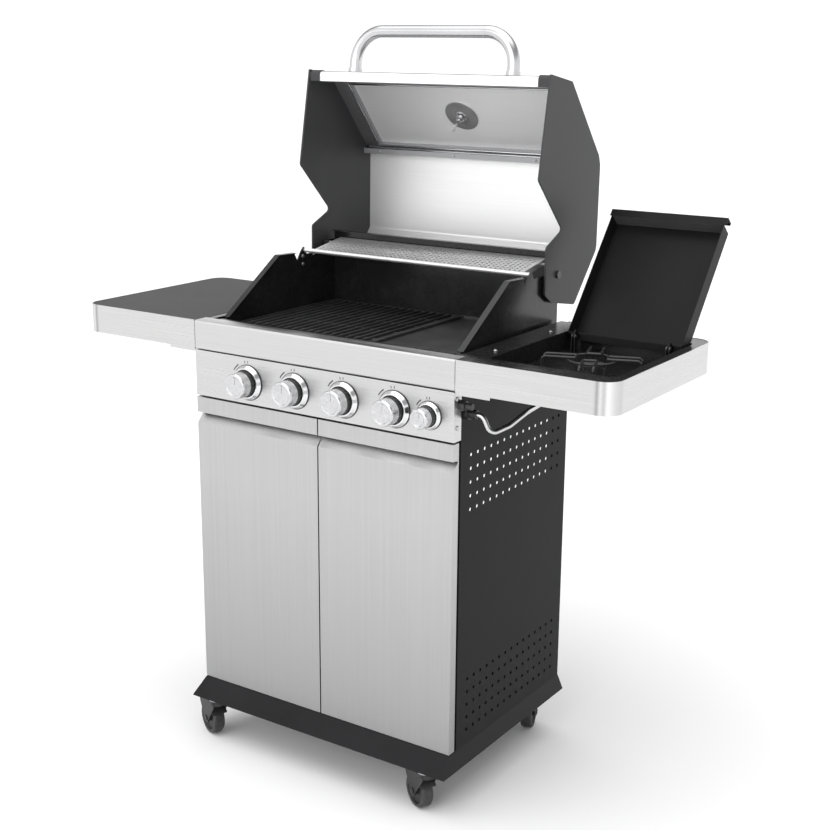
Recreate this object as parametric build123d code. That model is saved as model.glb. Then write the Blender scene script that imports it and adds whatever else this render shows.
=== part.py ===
"""Four-burner gas barbecue on a cabinet cart, with a side burner, its main hood and side lid open.

Units are millimetres. X runs to the user's right, Y runs away from the user and Z is up from the
floor. While a piece is built, its Y is a depth behind the front face of the cart. Every piece is
moved by ORIGIN_DEPTH when it is written, which puts the origin under the middle of the barbecue.
"""

import os
from math import atan2, cos, degrees, hypot, radians, sin

from build123d import *

# ---------------------------------------------------------------- driving dimensions
ORIGIN_DEPTH = 282.2        # from the cart's front face back to the origin

SHEET = 1.5                 # thickness of the folded steel sheet
SKIN = 1.2                  # thickness of the stainless skins
BEND = 2.0                  # inside radius of a fold
PIN_GAP = 0.05              # radial clearance of a pin in its hole

CART_HALF = 325.0           # half the width of the cabinet
CART_DEPTH = 460.0
PANEL_HALF = CART_HALF - SHEET
SHELF_HALF = 653.0          # half the overall width, over both shelves

PLINTH_BOTTOM = 95.0
PLINTH_TOP = 131.0
DOOR_BOTTOM = 133.0
DOOR_TOP = 784.0
PANEL_BOTTOM = 788.0        # control panel
FASCIA_BOTTOM = 888.0
WORKTOP = 950.0
SIDE_TOP = 949.0            # top edge of the cabinet sides
RAIL_DEPTH = 36.0           # how far the fascia rail folds back over the firebox

# casters
WHEEL_R = 37.5
AXLE_R = 4.0
TRAIL = 28.0                # axle behind the king pin
KING_PIN_R = 5.0
CHEEK_INNER = 15.2
CHEEK_OUTER = 17.7
CASTER_X = 281.0
CASTER_FRONT = -14.0
CASTER_REAR = 400.0
# position and heading of the trailing wheel, in degrees anticlockwise from +X
CASTERS = {
    "front_left": (-CASTER_X, CASTER_FRONT, 157.0),
    "front_right": (CASTER_X, CASTER_FRONT, 153.0),
    "rear_left": (-CASTER_X, CASTER_REAR, 120.0),
    "rear_right": (CASTER_X, CASTER_REAR, 108.0),
}
PEDAL_PIVOT = (52.0, 77.0)  # along the trail, height
PEDAL_PIN_R = 2.0

# cabinet
SIDE_FRONT = 26.0           # front edge of the cabinet sides, behind the doors
PERF_R = 3.75
PERF_COLUMNS = 15
PERF_ROWS = 5
PERF_PITCH_Y = 25.5
PERF_PITCH_Z = 28.0
PERF_FIRST_Y = 65.0
PERF_GROUP_BOTTOMS = (164.0, 638.0)

# doors
DOOR_INNER = 1.5            # gap from the middle to each door
DOOR_OUTER = 324.5
DOOR_DEPTH = 20.0
SCOOP_BOTTOM = 726.0
STRIP_BOTTOM = 750.0
SCOOP_DEPTH = 18.5
DOOR_PIN = (316.0, 11.0)    # X and depth of the door's hinge line
DOOR_PIN_R = 3.0

# gas controls
KNOB_Z = 834.0
MAIN_KNOB_X = (-181.0, -58.0, 65.0, 188.0)
SIDE_KNOB_X = 269.0
KNOB_X = MAIN_KNOB_X + (SIDE_KNOB_X,)
STEM_R = 4.0
STEM_FLAT = 2.8             # from the stem's axis to its flat
VALVE_FRONT = 10.0
VALVE_REAR = 36.0
MANIFOLD_Y = 22.0
MANIFOLD_Z = 858.0
MANIFOLD_R = 9.0
INLET_R = 6.6
HOSE_R = 5.0                # hose from the fifth valve to the side burner
HOSE_Y = 44.0
HOSE_Z = 838.0

# firebox
BOX_OUTER = 296.5
BOX_WALL = 3.0
BOX_INNER = BOX_OUTER - BOX_WALL
BOX_FRONT = 52.0
BOX_BACK = 450.0
BOX_BOTTOM = 812.0
BOX_TOP = 1096.0            # top of the back wall
RUNNER_Z = 765.0
LEDGE_TOP = 923.0
GRATE_TOP = 935.0
GRATE_SPLIT = 61.0          # X of the joint between grate and griddle
COOK_FRONT = 57.0
COOK_BACK = 446.0
BURNER_R = 12.5
TRAY_HALF = 284.0

# hood, drawn shut
PIVOT_Y = 430.0
PIVOT_Z = 1051.0
PIVOT_R = 4.0
HOOD_OPEN = 96.5            # swing from shut to open
CAP_OUTER = 306.0
CAP_INNER = 302.0
CAP_RIM = 276.0
RIM_SHEET = 2.0
HOOD_LIP = [(55.0, 953.0), (30.0, 951.0)]
HOOD_FRONT = [(35.0, 1044.0), (177.0, 1196.0), (196.0, 1205.0)]
HOOD_TOP = [(377.0, 1223.0), (496.0, 1139.0)]
HOOD_REAR = [(489.0, 1035.0), (473.0, 1004.0), (374.0, 994.0), (337.0, 1057.0), (240.0, 937.0)]
HANDLE_R = 13.5
HANDLE_HALF = 200.0
HANDLE_REACH = 87.0
HANDLE_Z = 982.0
HANDLE_BEND = 68.0

# shelves
SHELF_INNER = 326.0
SHELF_DEPTH = 450.0
SHELF_CORNER = 36.0
BAND = 2.0                  # thickness of the stainless band

# side burner
BURNER_X = 525.0
BURNER_Y = 165.0
WELL = (368.0, 632.0, 46.0, 403.0)
WELL_FLOOR = 912.0          # the lid's rear edge dips into the well as it opens
LID_LEFT = 375.0
LID_RIGHT = 625.0
LID_FRONT = 42.0
LID_REAR = 328.0
LID_TOP = 986.0
LID_RIM = 951.5
LID_PIVOT_Y = 340.0
LID_PIVOT_Z = 945.0
LID_PIN_R = 2.5
LID_OPEN = 129.5
LID_EAR_X = (397.0, 603.0)


# ---------------------------------------------------------------- helpers
def box(x0, x1, y0, y1, z0, z1):
    """Box between two corners."""
    middle = Pos((x0 + x1) / 2, (y0 + y1) / 2, (z0 + z1) / 2)
    return middle * Box(abs(x1 - x0), abs(y1 - y0), abs(z1 - z0))


def rod_x(x0, x1, y, z, r):
    """Round bar along X."""
    return Pos((x0 + x1) / 2, y, z) * Rot(0, 90, 0) * Cylinder(r, abs(x1 - x0))


def rod_y(x, y0, y1, z, r):
    """Round bar along Y."""
    return Pos(x, (y0 + y1) / 2, z) * Rot(90, 0, 0) * Cylinder(r, abs(y1 - y0))


def rod_z(x, y, z0, z1, r):
    """Round bar along Z."""
    return Pos(x, y, (z0 + z1) / 2) * Cylinder(r, abs(z1 - z0))


def plate_x(points, x0, x1):
    """Plate with its outline in (depth, height), between two X positions."""
    face = Plane.YZ * make_face(Polyline(*points, close=True))
    return Pos(min(x0, x1), 0, 0) * extrude(face, amount=abs(x1 - x0), dir=(1, 0, 0))


def side_points(points, thickness):
    """The points moved to the left of the way they run, mitred at each bend."""
    moved = []
    last = len(points) - 1
    for i, (y, z) in enumerate(points):
        before = points[max(i - 1, 0)]
        after = points[min(i + 1, last)]
        into = atan2(z - before[1], y - before[0]) if i > 0 else None
        out = atan2(after[1] - z, after[0] - y) if i < last else None
        if into is None:
            into = out
        if out is None:
            out = into
        middle = (into + out) / 2 if abs(out - into) <= radians(180) else (into + out) / 2 + radians(180)
        reach = thickness / cos((out - into) / 2)
        if abs(out - into) > radians(180):
            reach = -reach
        moved.append((y - sin(middle) * reach, z + cos(middle) * reach))
    return moved


def folded(points, thickness, x0, x1, bend=BEND):
    """Folded sheet whose one face follows points in (depth, height), extruded along X."""
    inner = side_points(points, thickness)
    near = []
    far = []
    for i in range(1, len(points) - 1):
        (ya, za), (yb, zb), (yc, zc) = points[i - 1], points[i], points[i + 1]
        turn = (yb - ya) * (zc - zb) - (zb - za) * (yc - yb)
        near.append(bend + thickness if turn > 0 else bend)
        far.append(bend if turn > 0 else bend + thickness)
    radii = [0] + near + [0, 0] + far[::-1] + [0]
    outline = FilletPolyline(*(points + inner[::-1]), radius=radii, close=True)
    face = Plane.YZ * make_face(outline)
    return Pos(min(x0, x1), 0, 0) * extrude(face, amount=abs(x1 - x0), dir=(1, 0, 0))


def turned(outline, x, z):
    """Solid turned about an axis along Y; outline is (radius, depth)."""
    face = Plane.XY * make_face(Polyline(*outline, close=True))
    return Pos(x, 0, z) * revolve(face, Axis.Y)


def mirrored(shape):
    """The same piece on the other side of the cart."""
    return mirror(shape, Plane.YZ)


def group(solids):
    """Several separate pieces written as one node."""
    return Compound(children=[s for shape in solids for s in shape.solids()])


# ---------------------------------------------------------------- plinth and casters
def tapered(half_top, front_top, back_top, z_top, half_low, front_low, back_low, z_low):
    """Block whose sides flare from a top rectangle to a lower one."""
    low = Pos(0, (front_low + back_low) / 2, z_low) * Rectangle(2 * half_low, back_low - front_low)
    top = Pos(0, (front_top + back_top) / 2, z_top) * Rectangle(2 * half_top, back_top - front_top)
    return loft([low, top])


def base_plinth():
    """Pressed plinth: deck, flared skirt and the underside rim that carries the casters."""
    wall = 2.2
    outer = tapered(CART_HALF, 0, CART_DEPTH, PLINTH_TOP, 336, -36, 468, PLINTH_BOTTOM)
    inner = tapered(CART_HALF - wall, wall, CART_DEPTH - wall, PLINTH_TOP - 2,
                    336 - wall, -36 + wall, 468 - wall, PLINTH_BOTTOM + 2)
    window = box(-225, 225, 60, 345, PLINTH_BOTTOM - 1, PLINTH_BOTTOM + 3)
    bottle_pad = box(-240, 240, 70, 400, PLINTH_TOP - 1, PLINTH_TOP + 1)
    return outer - inner - window + bottle_pad


def caster_plates():
    """Swivel plates under the plinth, each with its ball race and king pin."""
    plates = []
    for x, y, _ in CASTERS.values():
        plate = rod_z(x, y, PLINTH_BOTTOM - 2.5, PLINTH_BOTTOM, 21)
        race = rod_z(x, y, 90.3, PLINTH_BOTTOM - 2.5, 16)
        pin = rod_z(x, y, 78, 90.3, KING_PIN_R)
        head = rod_z(x, y, 76.4, 80.2, 8)
        plates.append(plate + race + pin + head)
    return group(plates)


def placed_caster(shape, name):
    """Caster piece drawn with its king pin at the origin and its trail along +X, set in place."""
    x, y, heading = CASTERS[name]
    return Pos(x, y, 0) * Rot(0, 0, heading) * shape


def upright_plate(face_sketch, w0, w1):
    """Plate in the caster's rolling plane, between two positions across it."""
    return extrude(Plane.XZ * face_sketch, amount=w1 - w0, dir=(0, 1, 0)).moved(Location((0, w0, 0)))


def caster_fork(name):
    """Fork with crown, two cheeks, mudguard, axle and, at the front, the pedal's pin."""
    braked = name.startswith("front")
    crown = rod_z(0, 0, 80.5, 90, 19) + box(-12, 24, -CHEEK_OUTER, CHEEK_OUTER, 80.5, 86.5)
    hole = rod_z(0, 0, 79, 92, KING_PIN_R + PIN_GAP)
    blank = make_face(Polyline((-12, 86.5), (24, 86.5), (54, 83), (59, 78), (57, 71), (39, 36),
                               (17, 36), (-12, 76), close=True))
    cheek = blank + Pos(TRAIL, WHEEL_R) * Circle(11)
    fork = crown - hole
    fork += upright_plate(cheek, CHEEK_INNER, CHEEK_OUTER)
    fork += upright_plate(cheek, -CHEEK_OUTER, -CHEEK_INNER)
    start, end = (78, 152) if braked else (30, 152)
    guard = Pos(TRAIL, WHEEL_R) * (Circle(42) - Circle(40) - wedge(end, start + 360, 60))
    fork += upright_plate(guard, -CHEEK_OUTER, CHEEK_OUTER)
    axle = Rot(90, 0, 0) * Cylinder(AXLE_R, 2 * CHEEK_OUTER)
    cap = Rot(90, 0, 0) * Cylinder(6.5, 2 * CHEEK_OUTER + 4)
    cap -= Rot(90, 0, 0) * Cylinder(7, 2 * CHEEK_OUTER - 1)
    fork += Pos(TRAIL, 0, WHEEL_R) * (axle + cap)
    if braked:
        pin = Rot(90, 0, 0) * Cylinder(PEDAL_PIN_R, 2 * CHEEK_OUTER)
        fork += Pos(PEDAL_PIVOT[0], 0, PEDAL_PIVOT[1]) * pin
    return placed_caster(fork, name)


def wedge(start, end, r):
    """Sector of a circle between two angles in degrees, as a polygon wider than the circle."""
    steps = 6
    angles = [radians(start + (end - start) * i / steps) for i in range(steps + 1)]
    rim = [(2 * r * cos(a), 2 * r * sin(a)) for a in angles]
    return make_face(Polyline((0, 0), *rim, close=True))


def caster_wheel(name):
    """Moulded wheel with a rounded tread, dished faces and a hub."""
    outline = [(AXLE_R + PIN_GAP, -14.6), (9, -14.6), (9, -8), (27, -8), (29, -12.6), (34.5, -12.6),
               (WHEEL_R, -9), (WHEEL_R, 9), (34.5, 12.6), (29, 12.6), (27, 8), (9, 8), (9, 14.6),
               (AXLE_R + PIN_GAP, 14.6)]
    wheel = Pos(TRAIL, 0, 0) * turned(outline, 0, WHEEL_R)
    return placed_caster(wheel, name)


def caster_pedal(name):
    """Brake pedal on its own pin, with the shoe that presses on the tread."""
    u, z = PEDAL_PIVOT
    blade = make_face(Polyline((u - 2, z + 4), (u + 6, z + 5), (u + 30, z - 2), (u + 30, z - 6.5),
                               (u + 5, z - 1), (u + 5, z - 5.5), (u - 1, z - 5.5), close=True))
    profile = blade + Pos(u, z) * Circle(4.8)
    pedal = upright_plate(profile, -14.5, 14.5)
    bore = Pos(u, 0, z) * Rot(90, 0, 0) * Cylinder(PEDAL_PIN_R + PIN_GAP, 40)
    return placed_caster(pedal - bore, name)


# ---------------------------------------------------------------- cabinet
def side_panel():
    """Right cabinet side: perforated sheet with a front and a wider rear return."""
    height = SIDE_TOP - PLINTH_TOP
    sheet = Rectangle(CART_DEPTH - SIDE_FRONT, height)
    middle_y = (CART_DEPTH + SIDE_FRONT) / 2
    middle_z = (SIDE_TOP + PLINTH_TOP) / 2
    first = PERF_FIRST_Y - middle_y
    for bottom in PERF_GROUP_BOTTOMS:
        for row in range(PERF_ROWS):
            z = bottom + row * PERF_PITCH_Z - middle_z
            sheet -= [Pos(first + i * PERF_PITCH_Y, z) * Circle(PERF_R) for i in range(PERF_COLUMNS)]
    panel = Pos(PANEL_HALF, middle_y, middle_z) * extrude(Plane.YZ * sheet, amount=SHEET, dir=(1, 0, 0))
    panel += box(CART_HALF - 20, CART_HALF, SIDE_FRONT, SIDE_FRONT + SHEET, PLINTH_TOP, PANEL_BOTTOM - 2)
    panel += box(CART_HALF - 35, CART_HALF, CART_DEPTH - SHEET, CART_DEPTH, PLINTH_TOP, 905)
    notch = box(PANEL_HALF - 3, CART_HALF + 3, SIDE_FRONT - 1, RAIL_DEPTH + 0.6,
                FASCIA_BOTTOM - 1, SIDE_TOP + 1)
    return panel - notch


def right_side_panel():
    """Right side with the passages of the gas inlet and of the side burner's hose."""
    hose_hole = rod_x(PANEL_HALF - 5, CART_HALF + 5, HOSE_Y, HOSE_Z, HOSE_R + 0.5)
    inlet_hole = rod_x(PANEL_HALF - 5, CART_HALF + 5, MANIFOLD_Y, MANIFOLD_Z, MANIFOLD_R + 0.3)
    return side_panel() - hose_hole - inlet_hole


def back_panel():
    """Back of the cabinet: closed below, with a window behind the gas bottle and burners."""
    y0 = CART_DEPTH - SHEET - SHEET
    y1 = CART_DEPTH - SHEET
    half = PANEL_HALF - 0.2
    panel = box(-half, half, y0, y1, PLINTH_TOP, 764)
    panel -= box(-287, 287, y0 - 1, y1 + 1, 430, 736)
    panel += box(-287, 287, y1 - 16, y1, 430 - SHEET, 430)
    panel += box(-287, 287, y1 - 16, y1, 736, 736 + SHEET)
    return panel


def front_frame():
    """Folded frame around the door opening, with the two magnet catches."""
    y0 = SIDE_FRONT + SHEET + 0.1
    half = PANEL_HALF - 0.2
    frame = box(-half, half, y0, y0 + SHEET, PLINTH_TOP, 786)
    frame -= box(-300, 300, y0 - 1, y0 + 3, 152, 764)
    frame += box(-300, 300, y0, y0 + 10, 764, 764 + SHEET)
    frame += box(-300, 300, y0, y0 + 10, 152 - SHEET, 152)
    catch = box(-30, -8, SIDE_FRONT - 3.5, y0, 768, 782)
    return frame + catch + mirrored(catch)


def control_panel():
    """Front panel that carries the knobs, a pan with returns all round."""
    depth = SIDE_FRONT - 0.2
    top = FASCIA_BOTTOM - 1.5
    panel = box(-CART_HALF, CART_HALF, 0, depth, PANEL_BOTTOM, top)
    panel -= box(-PANEL_HALF, PANEL_HALF, SHEET, depth + 1, PANEL_BOTTOM + SHEET, top - SHEET)
    for x in KNOB_X:
        panel -= rod_y(x, -1, SHEET + 1, KNOB_Z, 7.5)
    for side in (-1, 1):
        x, y = DOOR_PIN
        panel -= rod_z(side * x, y, PANEL_BOTTOM - 1, PANEL_BOTTOM + SHEET + 1, DOOR_PIN_R)
    panel -= rod_x(PANEL_HALF - 2, CART_HALF + 1, MANIFOLD_Y, MANIFOLD_Z, MANIFOLD_R)
    outer_edges = panel.edges().filter_by(Axis.X).group_by(Axis.Y)[0]
    return fillet(outer_edges, 0.8)


def fascia_rail():
    """Folded stainless rail across the front, over the control panel."""
    path = [(RAIL_DEPTH, WORKTOP), (0, WORKTOP), (0, FASCIA_BOTTOM), (20, FASCIA_BOTTOM)]
    return folded(path, SHEET, -CART_HALF + 0.2, CART_HALF - 0.2, bend=2.5)


# ---------------------------------------------------------------- doors
def door_skin():
    """Right door's stainless skin: flat front, finger scoop and hanging pull strip, with closed ends."""
    left, right = DOOR_INNER + SKIN, DOOR_OUTER - SKIN
    recess = SCOOP_DEPTH - SKIN
    scoop = [(-1, SCOOP_BOTTOM), (0, SCOOP_BOTTOM), (recess, STRIP_BOTTOM - 3), (recess, STRIP_BOTTOM),
             (-1, STRIP_BOTTOM)]
    pocket = [(5, STRIP_BOTTOM - 1), (5, STRIP_BOTTOM + SKIN), (SKIN, STRIP_BOTTOM + SKIN),
              (SKIN, DOOR_TOP - SKIN), (recess, DOOR_TOP - SKIN), (recess, STRIP_BOTTOM - 1)]
    hollow = [(SKIN, DOOR_BOTTOM + SKIN), (SKIN, SCOOP_BOTTOM - 0.4), (SCOOP_DEPTH, STRIP_BOTTOM - 3.4),
              (SCOOP_DEPTH, DOOR_TOP - SKIN), (DOOR_DEPTH + 1, DOOR_TOP - SKIN),
              (DOOR_DEPTH + 1, DOOR_BOTTOM + SKIN)]
    skin = box(DOOR_INNER, DOOR_OUTER, 0, DOOR_DEPTH, DOOR_BOTTOM, DOOR_TOP)
    skin -= plate_x(scoop, DOOR_INNER - 1, DOOR_OUTER + 1)
    skin -= plate_x(pocket, left, right)
    skin -= plate_x(hollow, left, right)
    x, y = DOOR_PIN
    for z0, z1 in ((DOOR_BOTTOM, DOOR_BOTTOM + 16), (DOOR_TOP - 16, DOOR_TOP)):
        skin += box(x - 6, DOOR_OUTER - SKIN / 2, 4, DOOR_DEPTH - 0.3, z0, z1)
        skin -= rod_z(x, y, z0 - 1, z1 + 1, DOOR_PIN_R + PIN_GAP)
    return skin


def door_liner():
    """Flat inner sheet of the right door, with a strike plate for the magnet."""
    liner = box(DOOR_INNER + SKIN, DOOR_OUTER - SKIN, DOOR_DEPTH, DOOR_DEPTH + SKIN,
                DOOR_BOTTOM + 2, DOOR_TOP - 2)
    strike = box(8, 30, DOOR_DEPTH + SKIN, DOOR_DEPTH + 2, 766, 780)
    return liner + strike


# ---------------------------------------------------------------- gas controls
def knob_bezels():
    """Chromed dish round each knob."""
    bezels = []
    for x in MAIN_KNOB_X:
        outline = [(9, 0), (38.5, 0), (38.2, -1.6), (32, -10), (29.5, -10.5), (29.5, -2.5), (9, -2.5)]
        bezels.append(turned(outline, x, KNOB_Z))
    outline = [(9, 0), (29, 0), (28.7, -1.6), (24, -8), (22.3, -8.5), (22.3, -2.5), (9, -2.5)]
    bezels.append(turned(outline, SIDE_KNOB_X, KNOB_Z))
    return group(bezels)


def knob(x, r, front):
    """Turning knob: gripped skirt, bright cap with a shallow dish, and a D-shaped bore."""
    base = -6.5
    outline = [(0, base), (r, base), (r, -21), (r - 0.8, -22), (r - 0.8, front + 3.5),
               (r - 2.2, front + 0.8), (r - 4, front), (r - 7, front), (r - 8.5, front + 1.2),
               (0, front + 1.2)]
    body = turned(outline, x, KNOB_Z)
    notches = 20
    for i in range(notches):
        angle = radians(360 * i / notches)
        groove = rod_y(x + (r + 0.9) * sin(angle), -20.5, base - 1, KNOB_Z + (r + 0.9) * cos(angle), 1.6)
        body -= groove
    ridge = box(x - 1.6, x + 1.6, front + 0.2, front + 2, KNOB_Z + 3, KNOB_Z + r - 8)
    bore = rod_y(x, -36, base + 1, KNOB_Z, STEM_R + PIN_GAP)
    flat = box(x - 6, x + 6, -37, base + 2, KNOB_Z + STEM_FLAT + PIN_GAP, KNOB_Z + 6)
    return body + ridge - (bore - flat)


def valve_stem(x):
    """Stem of a gas valve, flat on one side so that it turns its knob."""
    stem = rod_y(x, -30, 24, KNOB_Z, STEM_R)
    return stem - box(x - 6, x + 6, -31, 4, KNOB_Z + STEM_FLAT, KNOB_Z + 6)


def gas_valves():
    """Five valve bodies on the manifold and the black hose fitting on the cabinet side."""
    valves = []
    for x in KNOB_X:
        body = box(x - 10, x + 10, VALVE_FRONT, VALVE_REAR, KNOB_Z - 11, KNOB_Z + 10)
        body += rod_y(x, 3, VALVE_FRONT, KNOB_Z, 7)
        body += rod_z(x, MANIFOLD_Y, KNOB_Z + 10, MANIFOLD_Z - MANIFOLD_R + 1.2, 6)
        if x == SIDE_KNOB_X:
            body += box(x - 7, x + 7, VALVE_REAR, HOSE_Y + 6, KNOB_Z - 7, HOSE_Z + 7)
        else:
            body += rod_y(x, VALVE_REAR, 46, KNOB_Z, 4)
        body -= rod_y(x, 2, 26, KNOB_Z, STEM_R + PIN_GAP)
        body -= rod_x(x - 12, x + 12, MANIFOLD_Y, MANIFOLD_Z, MANIFOLD_R)
        valves.append(body)
    fitting = rod_x(CART_HALF, CART_HALF + 9, HOSE_Y, HOSE_Z, 12)
    fitting += rod_x(CART_HALF, CART_HALF + 24, HOSE_Y, HOSE_Z, 9)
    fitting -= rod_x(CART_HALF - 5, CART_HALF + 30, HOSE_Y, HOSE_Z, HOSE_R)
    valves.append(fitting)
    return group(valves)


def gas_manifold():
    """Gas pipe behind the control panel, with its inlet nut and nipple outside the right side."""
    pipe = rod_x(-PANEL_HALF, CART_HALF + 1, MANIFOLD_Y, MANIFOLD_Z, MANIFOLD_R)
    nut = Pos(CART_HALF + 7, MANIFOLD_Y, MANIFOLD_Z) * Rot(0, 90, 0)
    pipe += nut * extrude(RegularPolygon(radius=11, side_count=6), amount=6, both=True)
    return pipe + rod_x(CART_HALF + 13, CART_HALF + 27, MANIFOLD_Y, MANIFOLD_Z, INLET_R)


def side_burner_hose():
    """Metal gas hose from the fifth valve, out through the cabinet side and up to the side burner."""
    route = [(SIDE_KNOB_X + 7, HOSE_Y, HOSE_Z), (CART_HALF + 36, HOSE_Y, HOSE_Z),
             (CART_HALF + 52, HOSE_Y + 3, 803), (CART_HALF + 72, 84, 815), (CART_HALF + 88, 118, 836),
             (BURNER_X - 50, BURNER_Y, 885), (BURNER_X - 32, BURNER_Y, 885)]
    path = FilletPolyline(*route, radius=[15, 15, 40, 40, 12])
    return sweep(Plane(path @ 0, z_dir=path % 0) * Circle(HOSE_R), path=path)


# ---------------------------------------------------------------- firebox
def firebox_side():
    """Right firebox wall: raised ear, flanged edge, hinge lug, grate ledge, outer gutter, tray runner."""
    outline = [(54, RUNNER_Z), (452, RUNNER_Z), (452, 1075), (410, 1075), (400, 1052), (345, 1052),
               (338, 1066), (334, 1069), (324, 1059), (311, 1040), (300, 1058), (240, 1060), (68, 948),
               (40, 930), (40, 890), (54, 880)]
    wall = plate_x(outline, BOX_INNER, BOX_OUTER)
    wall += box(BOX_INNER - 12, BOX_INNER, 66.5, 437.5, LEDGE_TOP - SHEET, LEDGE_TOP)
    gutter = CAP_OUTER + 1.5
    wall += box(BOX_OUTER, gutter + SHEET, 40, 450, 925, 925 + SHEET)
    wall += box(gutter, gutter + SHEET, 40, 450, 925, SIDE_TOP)
    wall += box(gutter, PANEL_HALF - 0.1, 40, 450, SIDE_TOP - SHEET, SIDE_TOP)
    edge = [(68, 948), (240, 1060), (300, 1058), (300, 1059.5), (240, 1061.6), (67, 949.3)]
    wall += plate_x(edge, BOX_INNER - 6, BOX_OUTER + 4.5)
    wall += box(275, BOX_INNER, 55, 452, RUNNER_Z, RUNNER_Z + SHEET)
    wall -= rod_x(BOX_INNER - 1, BOX_OUTER + 1, PIVOT_Y, PIVOT_Z, PIVOT_R)
    return wall


def firebox_walls():
    """Front and back walls of the firebox, each with a ledge for the grates."""
    half = BOX_INNER - 0.1
    flange = WORKTOP - SHEET - 0.2 - SHEET
    front_path = [(RAIL_DEPTH - 16, flange), (BOX_FRONT, flange), (BOX_FRONT, BOX_BOTTOM)]
    front = folded(front_path, SHEET, -half, half, bend=1)
    front += box(-half, half, BOX_FRONT + SHEET / 2, 66, LEDGE_TOP - SHEET, LEDGE_TOP)
    for x in MAIN_KNOB_X:
        front -= rod_y(x, BOX_FRONT - 5, BOX_FRONT + 5, KNOB_Z, BURNER_R + 0.3)
    back = box(-half, half, BOX_BACK, BOX_BACK + SHEET, BOX_BOTTOM, BOX_TOP)
    back += box(-half, half, BOX_BACK - 12, BOX_BACK, BOX_TOP - SHEET, BOX_TOP)
    back += box(-half, half, 438, BOX_BACK, LEDGE_TOP - SHEET, LEDGE_TOP)
    return group([front, back])


def main_burners():
    """Four stainless tube burners, open at the front where each valve's jet enters."""
    burners = []
    for x in MAIN_KNOB_X:
        tube = rod_y(x, 40, BOX_BACK - 0.1, KNOB_Z, BURNER_R)
        burners.append(tube - rod_y(x, 39, 75, KNOB_Z, 8))
    return group(burners)


def flame_tamers():
    """Four roof-shaped plates that stand over the burners, resting on the front and back walls."""
    roof = [(-46, 872), (0, 899), (46, 872), (46, 870.2), (0, 897.2), (-46, 870.2)]
    face = Plane.XZ * make_face(Polyline(*roof, close=True))
    length = BOX_BACK - BOX_FRONT - SHEET - 0.4
    tamer = extrude(face, amount=length, dir=(0, 1, 0)).moved(Location((0, BOX_FRONT + SHEET + 0.2, 0)))
    return group([Pos(x, 0, 0) * tamer for x in MAIN_KNOB_X])


def cooking_grate():
    """Cast grate: bars from front to back, a frame and four lower cross members."""
    left = -BOX_INNER + 2.5
    right = GRATE_SPLIT - 1
    pitch = (right - left - 8) / 17
    grate = box(left, right, COOK_FRONT, COOK_BACK, LEDGE_TOP, GRATE_TOP - 1)
    grate -= box(left + 8, right - 8, COOK_FRONT + 8, COOK_BACK - 8, LEDGE_TOP - 1, GRATE_TOP)
    bar_face = Plane.XZ * make_face(Polyline((-4, GRATE_TOP - 10), (-3, GRATE_TOP), (3, GRATE_TOP),
                                             (4, GRATE_TOP - 10), close=True))
    bar = extrude(bar_face, amount=COOK_BACK - COOK_FRONT, dir=(0, 1, 0))
    bar = bar.moved(Location((0, COOK_FRONT, 0)))
    for i in range(1, 17):
        grate += Pos(left + 4 + i * pitch, 0, 0) * bar
    for i in range(1, 5):
        y = COOK_FRONT + (COOK_BACK - COOK_FRONT) * i / 5
        grate += box(left, right, y - 4, y + 4, LEDGE_TOP, GRATE_TOP - 3)
    return grate


def griddle_plate():
    """Cast griddle: a flat plate in a raised rim, with a drain slot near the front."""
    left = GRATE_SPLIT + 1
    right = BOX_INNER - 2.5
    plate = box(left, right, COOK_FRONT, COOK_BACK, LEDGE_TOP, GRATE_TOP)
    dish = box(left + 7, right - 7, COOK_FRONT + 7, COOK_BACK - 7, LEDGE_TOP + 6, GRATE_TOP + 1)
    slot = extrude(SlotOverall(34, 12), amount=20, both=True)
    dish = fillet(dish.edges().filter_by(Axis.Z), 12)
    return plate - dish - Pos(left + 40, COOK_FRONT + 34, LEDGE_TOP) * slot


def warming_rack():
    """Perforated warming shelf with a rolled front rail whose ends rest on the firebox ears."""
    front, back, half = 338.0, 444.0, 272.0
    low, high = 1062.0, 1080.0
    tilt = degrees(atan2(high - low, back - front))
    length = hypot(back - front, high - low)
    sheet = Rectangle(2 * half, length)
    sheet -= [place * Circle(3.1) for place in GridLocations(11.5, 11.5, 46, 8)]
    shelf = extrude(sheet, amount=SHEET / 2, both=True)
    shelf += Pos(0, length / 2, -5) * Box(2 * half, SHEET, 11)
    for side in (-1, 1):
        shelf += Pos(side * (half - SHEET / 2), 0, -5) * Box(SHEET, length, 11)
    rack = Pos(0, (front + back) / 2, (low + high) / 2) * Rot(tilt, 0, 0) * shelf
    rack += rod_x(-BOX_INNER + 0.2, BOX_INNER - 0.2, front, low - 1, 5)
    rack += rod_x(-BOX_INNER + 0.2, -half + 1, 432, 1069, 3) + rod_x(half - 1, BOX_INNER - 0.2, 432, 1069, 3)
    return rack


def drip_tray():
    """Grease tray that slides out at the back on the firebox runners."""
    z0, z1 = RUNNER_Z + SHEET + 0.5, 800.0
    tray = box(-TRAY_HALF, TRAY_HALF, 62, 456, z0, z1)
    tray -= box(-TRAY_HALF + SKIN, TRAY_HALF - SKIN, 62 + SKIN, 456 - SKIN, z0 + SKIN, z1 + 1)
    pull = box(-60, 60, 456, 474, z1 - SKIN, z1) + box(-60, 60, 474 - SKIN, 474, z1 - 14, z1)
    return tray + pull


# ---------------------------------------------------------------- hood, drawn shut
def swung_open(shape):
    """Hood piece turned from shut to its open rest position."""
    return shape.rotate(Axis((0, PIVOT_Y, PIVOT_Z), (1, 0, 0)), -HOOD_OPEN)


HOOD_SKIN_LINE = HOOD_LIP + HOOD_FRONT + HOOD_TOP


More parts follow.
